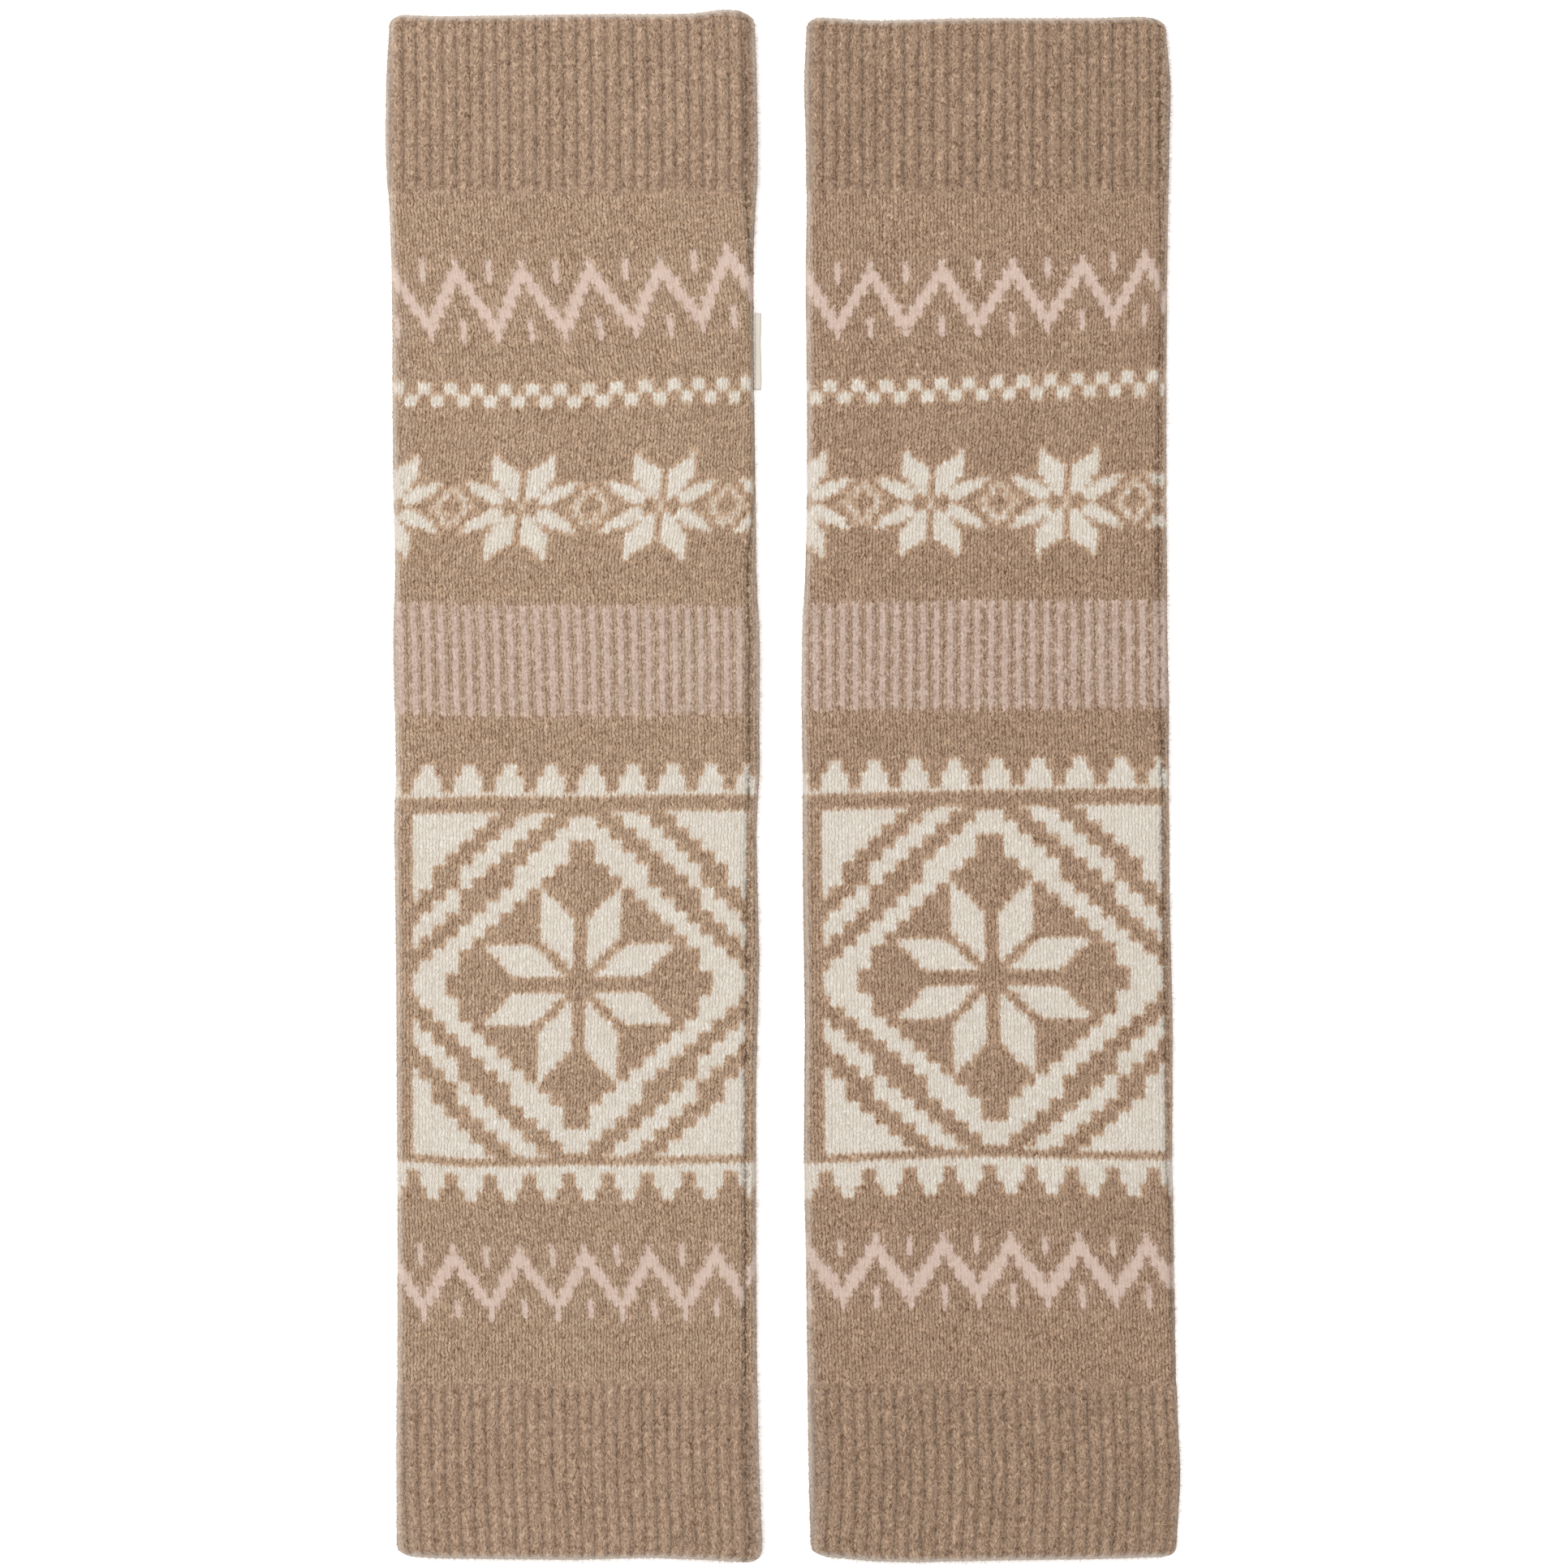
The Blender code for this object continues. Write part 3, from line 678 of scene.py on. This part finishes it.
def make_cloth(name, vertices, faces, stitch_uv, bake_uv, shares):
    """A mesh of triangles with the maps that the wool's finish reads."""
    mesh = bpy.data.meshes.new(name)
    mesh.vertices.add(len(vertices))
    mesh.vertices.foreach_set("co", np.asarray(vertices, np.float32).ravel())
    mesh.loops.add(faces.size)
    mesh.loops.foreach_set("vertex_index", faces.ravel().astype(np.int32))
    mesh.polygons.add(len(faces))
    mesh.polygons.foreach_set("loop_start", np.arange(0, faces.size, 3, dtype=np.int32))
    mesh.update(calc_edges=True)
    mesh.polygons.foreach_set("use_smooth", np.ones(len(faces), bool))
    for map_name, uv in (("OFBake", bake_uv), ("Stitches", stitch_uv)):
        mesh.uv_layers.new(name=map_name).uv.foreach_set("vector", np.asarray(uv, np.float32).ravel())
    colour = np.concatenate([shares, np.ones((len(shares), 1))], 1)
    yarn = mesh.color_attributes.new("yarn", "FLOAT_COLOR", "CORNER")
    yarn.data.foreach_set("color", colour.astype(np.float32).ravel())
    piece = bpy.data.objects.new(name, mesh)
    bpy.context.scene.collection.objects.link(piece)
    return piece


class Socket:
    """A socket of a finish's node. Sums on it in Python add Math nodes."""

    def __init__(self, finish, socket):
        self.finish, self.socket = finish, socket

    def math(self, operation, *values):
        return self.finish.node("ShaderNodeMath", {"operation": operation}, dict(enumerate(values)))[0]

    def __add__(self, other):
        return self.math("ADD", self, other)

    def __sub__(self, other):
        return self.math("SUBTRACT", self, other)

    def __mul__(self, other):
        return self.math("MULTIPLY", self, other)

    def __pow__(self, other):
        return self.math("POWER", self, other)

    def __rsub__(self, other):
        return self.math("SUBTRACT", other, self)

    def __abs__(self):
        return self.math("ABSOLUTE", self)

    __radd__ = __add__
    __rmul__ = __mul__


class Finish:
    """A material that is built up from nodes, and ends in a Principled shader."""

    def __init__(self, name):
        self.material = bpy.data.materials.new(name)
        self.material.use_nodes = True
        self.tree = self.material.node_tree
        self.tree.nodes.clear()

    def node(self, kind, settings=None, inputs=None):
        """Adds a node, with its settings first and then its sockets' values or links."""
        made = self.tree.nodes.new(kind)
        for key, value in (settings or {}).items():
            setattr(made, key, value)
        for key, value in (inputs or {}).items():
            if isinstance(value, Socket):
                self.tree.links.new(value.socket, made.inputs[key])
            else:
                made.inputs[key].default_value = value
        return [Socket(self, output) for output in made.outputs]

    def noise(self, place, scale, **inputs):
        """A noise texture in three dimensions: its value, and the same noise as a colour."""
        inputs = {"Vector": place, "Scale": scale, **inputs}
        return self.node("ShaderNodeTexNoise", {"noise_dimensions": "3D"}, inputs)

    def soft_step(self, value, low, high, start=0.0, end=1.0):
        """A smooth step from the start to the end as a value goes from low to high."""
        inputs = {0: value, 1: low, 2: high, 3: start, 4: end}
        return self.node("ShaderNodeMapRange", {"interpolation_type": "SMOOTHSTEP"}, inputs)[0]

    def mix(self, factor, one, other, blend="MIX"):
        """One colour or the other, by a factor."""
        settings = {"data_type": "RGBA", "blend_type": blend}
        return self.node("ShaderNodeMix", settings, {0: factor, 6: one, 7: other})[2]

    def shade(self, **inputs):
        """Ends the material in its shader. Sockets are named with an underscore for each space."""
        named = {key.replace("_", " "): value for key, value in inputs.items()}
        shader = self.node("ShaderNodeBsdfPrincipled", {}, named)
        self.node("ShaderNodeOutputMaterial", {}, {"Surface": shader[0]})


def linear(red, green, blue):
    """A colour given in screen values, as the shader needs it."""
    return (*(((c / 255 + 0.055) / 1.055) ** 2.4 for c in (red, green, blue)), 1.0)


# Each yarn is a heather of a darker and a paler fibre. The right warmer's camel is a darker copy of the
# left's, as painted shade for light that falls off from the left.
LEFT_CAMEL = (linear(97, 67, 44), linear(193, 171, 148))
SHADED_RIGHT_CAMEL = (linear(93, 63, 41), linear(186, 162, 140))
CREAM_FIBRES = (linear(182, 171, 155), linear(217, 212, 204))
PINK_FIBRES = (linear(174, 149, 134), linear(203, 184, 173))
HALO = linear(188, 154, 122)
# The pale grey of painted sheen on the brushed-up fuzz at folds and hems, on the cloth and on the hairs
# standing out there.
PAINTED_SHEEN_GREY = linear(190, 180, 170)
# The tint that painted shade darkens the wool toward, in the hollows and along the seam's groove.
PAINTED_SHADE_TINT = (0.30, 0.27, 0.25, 1.0)


def brushed_wool(name, camel, leg_gap_dip_and_shade):
    """Heathered wool in stocking stitch, felted a little and brushed.

    Along each leg of a stitch run fibres, some darker and some paler, and the felting pulls them out
    of line. Where two yarns meet, stray fibres carry each across the other's edge. Between the legs,
    and between the curls of fibre, small gaps dip and are painted dark as shade; the third argument says how
    dark the first are.
    """
    wool = Finish(name)
    place = wool.node("ShaderNodeTexCoord")[3]
    pulled = wool.noise(place, 560.0, Detail=1.0, Roughness=0.5, Distortion=0.5)
    pull_wale, pull_course, _ = wool.node("ShaderNodeSeparateColor", {}, {0: pulled[1]})
    stitches = wool.node("ShaderNodeUVMap", {"uv_map": "Stitches"})[0]
    wale, course, _ = wool.node("ShaderNodeSeparateXYZ", {}, {0: stitches})
    wale, course = wale + (pull_wale - 0.5) * 0.6, course + (pull_course - 0.5) * 1.3
    yarn = wool.node("ShaderNodeVertexColor", {"layer_name": "yarn"})[0]
    cream, pink, painted_hollow_shade = wool.node("ShaderNodeSeparateColor", {}, {0: yarn})

    leg = wale * 2
    leg_number, course_number = leg.math("FLOOR", leg), course.math("FLOOR", course)
    across, over = leg.math("FRACT", leg), course.math("FRACT", course)
    stitch = wool.node("ShaderNodeCombineXYZ", {}, {0: leg_number, 1: course_number, 2: 3.7})[0]
    chance = wool.node("ShaderNodeTexWhiteNoise", {"noise_dimensions": "3D"}, {0: stitch})[0]

    # The fibres lie along the leg, which leans to the left or the right by turns.
    lean = 1 - 2 * abs(leg_number.math("MODULO", leg_number, 2.0))
    beside = (wale * 1.55 - lean * course * 0.63) * 2.2
    along = (lean * wale * 1.08 + course * 0.9) * 1.25
    fibres_at = wool.node("ShaderNodeCombineXYZ", {}, {0: beside, 1: along, 2: leg_number * 7.3})[0]
    fibres = wool.noise(fibres_at, 1.0, Detail=1.0, Roughness=0.5, Distortion=0.4)[0]
    curls = wool.noise(place, 800.0, Detail=0.0, Roughness=0.5, Distortion=1.0)[0]
    tufts = wool.noise(place, 520.0, Detail=2.0, Roughness=0.6, Distortion=1.2)[0]
    cloudy = wool.noise(place, 70.0, Detail=3.0)[0]
    # A thin gap, painted dark as shade, runs wherever the curls' height passes through its middle.
    curl_gap_dip_and_shade = wool.node("ShaderNodeMapRange", {}, {0: abs(curls - 0.5), 1: 0.0, 2: 0.12})[0]

    # A border is where a yarn has half the say, give or take the stray fibres.
    blur = (fibres - 0.5) * 0.6 + (curls - 0.5) * 0.7
    cream_here = wool.soft_step(cream + blur, 0.17, 0.97)
    halo_here = wool.soft_step(cream + blur, -0.05, 0.35, end=0.5)
    pink_here = wool.soft_step(pink + blur, 0.15, 0.76)

    # The gaps between courses and between legs dip in the bump, and are painted darker as shade.
    gap = abs(over * 2 - 1) ** 3 * 0.3 + abs(across * 2 - 1) ** 4 * leg_gap_dip_and_shade
    heather = (fibres - 0.5) * 3.6 + (tufts - 0.5) * 0.4 + (cloudy - 0.5) * 0.3
    tone = heather + (curl_gap_dip_and_shade - 0.75) * 0.5
    # The pink yarn is softer, and felts into a smoother cloth.
    rough = 1 - pink * 0.7
    spread = (tone + (chance - 0.5) * 0.5 - gap) * rough
    light = wool.node("ShaderNodeMapRange", {}, {0: spread + 0.16, 1: -1.3, 2: 1.3})[0]
    colour = wool.mix(halo_here, wool.mix(light, *camel), HALO)
    colour = wool.mix(pink_here, colour, wool.mix(light, *PINK_FIBRES))
    colour = wool.mix(cream_here, colour, wool.mix(light, *CREAM_FIBRES))
    # Along the folds and hems the nap is brushed up, and a pale, greyish painted sheen is laid there for the
    # light that its fuzz catches.
    painted_sheen = wool.node("ShaderNodeAttribute", {"attribute_name": "painted_sheen"})[2]
    painted_sheen_share = wool.soft_step(painted_sheen + (tufts - 0.5) * 0.5, 0.05, 0.95, end=0.7)
    colour = wool.mix(painted_sheen_share, colour, PAINTED_SHEEN_GREY)
    # The linked seam is a narrow, frayed dark line of painted shade, laid in its groove where the tube's last
    # wale meets its first.
    from_seam = wale.math("MINIMUM", SEAM_WALE - wale, BACK_WALES + wale)
    seam = wool.soft_step(from_seam + (tufts - 0.5) * 0.9, 0.08, 0.6, start=0.85, end=0.0)
    broken = wool.soft_step(curls, 0.3, 0.6, start=0.25)
    seam = seam * broken * wool.node("ShaderNodeAttribute", {"attribute_name": "seam"})[2]
    # Painted shade: the hollows between ribs, the stripe band and the seam's groove are darkened toward the
    # shade tint.
    dark = painted_hollow_shade.math("MAXIMUM", painted_hollow_shade * (0.5 + tufts), seam)
    shade = wool.mix(dark, colour, PAINTED_SHADE_TINT, blend="MULTIPLY")

    height = ((1 - gap) * 0.5 + fibres * 1.1 + curl_gap_dip_and_shade * 0.15) * rough
    bump = wool.node("ShaderNodeBump", {}, {"Strength": 0.7, "Distance": 0.0003, "Height": height})[0]
    wool.shade(
        Base_Color=shade,
        Roughness=0.92,
        Normal=bump,
        Specular_IOR_Level=0.15,
        Sheen_Weight=0.06,
        Sheen_Roughness=0.5,
        Sheen_Tint=(1.0, 0.95, 0.9, 1.0),
    )
    return wool.material


def stray_fibre(name):
    """Single wool fibres, from dark to pale, in the colour of the yarn that they were pulled from."""
    fibre = Finish(name)
    yarn = fibre.node("ShaderNodeVertexColor", {"layer_name": "yarn"})[0]
    cream, pink, tone = fibre.node("ShaderNodeSeparateColor", {}, {0: yarn})
    colour = fibre.mix(tone, linear(128, 97, 73), linear(190, 164, 141))
    colour = fibre.mix(pink, colour, fibre.mix(tone, linear(174, 148, 132), linear(216, 197, 186)))
    colour = fibre.mix(cream, colour, fibre.mix(tone, linear(195, 185, 172), linear(219, 214, 206)))
    # A tone past 1 mixes in the pale grey of painted sheen.
    colour = fibre.mix((tone - 1) * 1.6, colour, PAINTED_SHEEN_GREY)
    fibre.shade(Base_Color=colour, Roughness=0.9, Specular_IOR_Level=0.1)
    return fibre.material


nap_fibre = stray_fibre("nap_fibre")


def brush(nap):
    """Gives a stretch's nap its finish, and says what it rides on."""
    nap.data.materials.append(nap_fibre)
    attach(nap, "root")
    return nap


def wear(piece, material, nodes):
    """Gives a knitted piece its finish, ties it to the root body and hides the solids that it stands for."""
    piece.data.materials.append(material)
    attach(piece, "root")
    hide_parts(*nodes)


def into_stripes(course):
    """From 0 outside the stripe band to 1 when two courses into it."""
    return np.clip(np.minimum(course - STRIPES[0], STRIPES[1] - course) / 2, 0, 1)


def body_relief(crest):
    """The pink wales of the stripe band stand a little proud, as ribs do."""

    def relief(course, wale):
        return STRIPE_STANDS_OUT * into_stripes(course) * (0.5 + 0.5 * np.cos(math.pi * (wale - crest)))

    return relief


def band_hollow_shade(course, wale):
    """The stripe band's stitches are drawn closer together, and a little painted shade darkens them all over
    it, as if shut in.
    """
    return 0.12 * into_stripes(course) + 0 * wale


for warmer, chart, crest, camel in (
    (left_warmer, left_chart, 1.5, LEFT_CAMEL),
    (right_warmer, right_chart, 0.5, SHADED_RIGHT_CAMEL),
):
    jacquard_wool = brushed_wool(f"brushed_jacquard_wool_{warmer.side}", camel, 1.3)
    body = Stretch(warmer, chart, warmer.down_at, body_relief(crest), band_hollow_shade)
    cloth = body.knit(f"{warmer.side}_body_knit")
    nap = brush(body.raise_nap(f"{warmer.side}_body_nap", BODY_HAIRS))
    nodes = [f"{warmer.side}_body_{layer}" for layer in ("front", "back")]
    wear(cloth, jacquard_wool, nodes)

# --- The cuffs ---------------------------------------------------------------------------------
# Each end of a panel is knitted in 1x1 rib on the same needles, in the camel yarn alone: every other
# wale stands out, and the wale between sinks behind it. The hem is a soft rounded edge.
CUFF_COURSES = 36
RIB_STANDS_OUT = 0.38
HEM_LIP = 0.8
UPPER_PITCH = (UPPER_CUFF - HEM_LIP) / CUFF_COURSES
LOWER_PITCH = (LOWER_CUFF - HEM_LIP) / CUFF_COURSES
CUFF_HAIRS = 9500
# The right cuffs' camel is a darker copy of the left's, as painted shade for light that falls off from the
# left.
LEFT_RIB_CAMEL = (linear(87, 60, 40), linear(188, 163, 141))
SHADED_RIGHT_RIB_CAMEL = (linear(82, 56, 37), linear(180, 155, 133))


def rib_relief(crest, border):
    """Knit wales stand out in a rounded ridge, and purl wales lie deep between them.

    The ribs begin at the border with the body, over their first two courses.
    """

    def relief(course, wale):
        begun = np.clip(np.abs(course - border) / 2, 0, 1)
        return begun * (RIB_STANDS_OUT * (0.5 + 0.5 * np.cos(math.pi * (wale - crest))) ** 0.5 - 0.1)

    return relief


def rib_hollow_shade(crest, border):
    """The purl wales lie shut in between the ribs and are darkened there with painted shade, less so in the
    flatter lower cuff.
    """
    darkest = 0.55 if border else 0.5

    def hollow_shade_at(course, wale):
        begun = np.clip(np.abs(course - border) / 2, 0, 1)
        valley = (0.5 - 0.5 * np.cos(math.pi * (wale - crest))) ** 3
        return darkest * begun * valley

    return hollow_shade_at


def upper_cuff_down(course, wale):
    """How far down an upper cuff's course lies: the courses are even, below the lip of the hem."""
    return HEM_LIP + course * UPPER_PITCH + 0 * wale


def lower_cuff_down(course, wale):
    """How far down a lower cuff's course lies: the courses are even, above the lip of the hem."""
    return LOWER_TOP + course * LOWER_PITCH + 0 * wale


for warmer, crest, camel in ((left_warmer, 1.5, LEFT_RIB_CAMEL), (right_warmer, 0.5, SHADED_RIGHT_RIB_CAMEL)):
    ribbed_wool = brushed_wool(f"brushed_rib_wool_{warmer.side}", camel, 0.4)
    plain = np.full((CUFF_COURSES, WALES), CAMEL)
    for end, down_at, border, lips in (
        ("upper", upper_cuff_down, CUFF_COURSES, (HEM_LIP, 0.0)),
        ("lower", lower_cuff_down, 0, (0.0, HEM_LIP)),
    ):
        cuff = Stretch(warmer, plain, down_at, rib_relief(crest, border), rib_hollow_shade(crest, border), *lips)
        cloth = cuff.knit(f"{warmer.side}_{end}_cuff_knit")
        nap = brush(cuff.raise_nap(f"{warmer.side}_{end}_cuff_nap", CUFF_HAIRS))
        nodes = [f"{warmer.side}_{end}_cuff_{layer}" for layer in ("front", "back")]
        wear(cloth, ribbed_wool, nodes)

# --- The side label ----------------------------------------------------------------------------
# A strip of plain woven tape, folded in half and caught in the left warmer's side seam. It is a
# smooth satin weave in off-white, and bears no lettering.
LABEL_RADIUS, LABEL_WALL = 0.45, 0.28
LABEL_ROWS = 30
tape_low, tape_high = (np.array(corner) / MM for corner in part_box("left_side_label"))


def label_section():
    """A long loop: out over the top, round the fold at the outer edge and back beneath, then inside."""
    middle = (tape_low[2] + tape_high[2]) / 2
    turn = np.linspace(0, math.pi, 9)
    loops = []
    for radius in (LABEL_RADIUS, LABEL_RADIUS - LABEL_WALL):
        bend_x = tape_high[0] - LABEL_RADIUS + radius * np.sin(turn)
        bend_z = middle + radius * np.cos(turn)
        x = np.concatenate([[tape_low[0], tape_high[0] - 1], bend_x, [tape_high[0] - 1, tape_low[0]]])
        z = np.concatenate([[middle + radius] * 2, bend_z, [middle - radius] * 2])
        loops.append(np.stack([x, z], -1))
    return np.concatenate([loops[0], loops[1][::-1]])


def weave_label():
    """The section is drawn down the label's length in even rows, with a soft wave and blunt ends."""
    section = label_section()
    down = np.linspace(tape_low[1], tape_high[1], LABEL_ROWS + 1)[:, None]
    wave = 0.12 * np.sin(down / 2.9) + 0.05 * np.sin(down / 1.1)
    x = section[:, 0] + wave * (section[:, 0] - tape_low[0]) / 2
    z = section[:, 1] + 0.06 * np.sin(down / 3.3)
    points = np.stack(np.broadcast_arrays(x, down, z), -1) * MM

    count = len(section)
    row = np.arange(LABEL_ROWS)[:, None] * count
    column = np.arange(count)
    ahead = (column + 1) % count
    sides = np.stack([row + column, row + ahead, row + count + ahead, row + count + column], -1)
    cap = np.array([(i, count - 1 - i, count - 2 - i, i + 1) for i in range(count // 2 - 1)])
    quads = np.concatenate([sides.reshape(-1, 4), cap, (LABEL_ROWS * count + cap)[:, ::-1]])
    faces = quads[:, HALVES].reshape(-1, 3)
    around = np.tile(column / count, LABEL_ROWS + 1)
    along = np.repeat(np.arange(LABEL_ROWS + 1) / LABEL_ROWS, count)
    uv = np.stack([around, along], -1)[faces.ravel()]
    return make_cloth("side_label_tape", points.reshape(-1, 3), faces, uv * 20, uv, np.zeros((faces.size, 3)))


label = weave_label()
tape = Finish("satin_tape")
threads_at = tape.node("ShaderNodeTexCoord")[3]
threads = tape.node(
    "ShaderNodeTexWave", {"bands_direction": "Y"}, {0: threads_at, "Scale": 900.0, "Distortion": 0.6}
)[1]
specks = tape.noise(threads_at, 2600.0, Detail=2.0)[0]
woven = threads * 0.6 + specks * 0.4
tape.shade(
    Base_Color=tape.mix(woven, linear(176, 169, 157), linear(213, 206, 194)),
    Roughness=0.62,
    Normal=tape.node("ShaderNodeBump", {}, {"Strength": 0.5, "Distance": 0.0001, "Height": woven})[0],
    Sheen_Weight=0.1,
)
label.data.materials.append(tape.material)
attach(label, "root")
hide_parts("left_side_label")

# --- The ground, the light and the camera --------------------------------------------------------
# The pair lies on plain white paper, lit a little from beneath as on a light table, under a large
# soft light, and the camera looks straight down.
bpy.ops.mesh.primitive_plane_add(size=30, location=(0, 0, -0.0004))
floor = bpy.context.object
floor.name = "floor"
paper = Finish("white_paper")
paper.shade(
    Base_Color=(0.92, 0.92, 0.92, 1.0),
    Roughness=0.9,
    Specular_IOR_Level=0.1,
    Emission_Color=(1.0, 1.0, 1.0, 1.0),
    Emission_Strength=0.4,
)
floor.data.materials.append(paper.material)

world = bpy.data.worlds.new("studio")
world.use_nodes = True
sky = world.node_tree.nodes["Background"].inputs
sky["Color"].default_value = (1.0, 1.0, 1.0, 1.0)
sky["Strength"].default_value = 0.95
bpy.context.scene.world = world

WINDOW = Vector((-0.98, 0.59, 1.24))
key = bpy.data.lights.new("window_light", "AREA")
key.shape, key.size, key.size_y, key.energy = "RECTANGLE", 1.2, 1.2, 22.0
key_light = bpy.data.objects.new("window_light", key)
key_light.location = WINDOW
key_light.rotation_euler = (-WINDOW).to_track_quat("-Z", "Y").to_euler()
bpy.context.scene.collection.objects.link(key_light)

FRAME_SIDE = 0.4347
FRAME_MIDDLE = (0.0, 0.00045)
LENS = 110.0
camera_data = bpy.data.cameras.new("camera")
camera_data.lens = LENS
camera = bpy.data.objects.new("camera", camera_data)
camera.location = (*FRAME_MIDDLE, FRAME_SIDE * LENS / camera_data.sensor_width + THICK * MM)
bpy.context.scene.collection.objects.link(camera)
bpy.context.scene.camera = camera
bpy.context.scene.view_settings.view_transform = "Standard"
